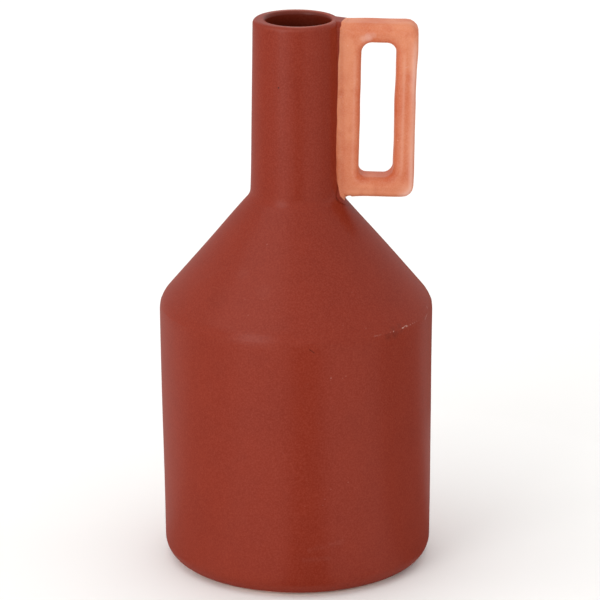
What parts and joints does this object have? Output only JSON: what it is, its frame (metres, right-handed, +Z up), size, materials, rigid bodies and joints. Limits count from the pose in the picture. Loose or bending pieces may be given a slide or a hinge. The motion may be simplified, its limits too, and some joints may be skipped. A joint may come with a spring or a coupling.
{
  "type": "bottle vase",
  "caption": "Matt terracotta bottle vase: straight body, conical shoulder, narrow neck, and one square loop handle from lip to neck foot.",
  "frame": {"origin": "centre of the foot ring, on the surface that the vase stands on", "axes": "+Z up along the turning axis, towards the mouth; +X from the axis out to the handle"},
  "size_m": [0.14, 0.14, 0.285],
  "materials": {
    "terracotta": "matt red-brown engobe over earthenware",
    "salmon": "satin salmon engobe over earthenware",
    "slip": "matt fired joining slip"
  },
  "bodies": {
    "root": {"lower_body": "terracotta", "shoulder": "terracotta", "neck": "terracotta", "handle": "salmon", "shoulder_slip": "slip", "neck_slip": "slip", "handle_slip": "slip"}
  },
  "joints": []
}
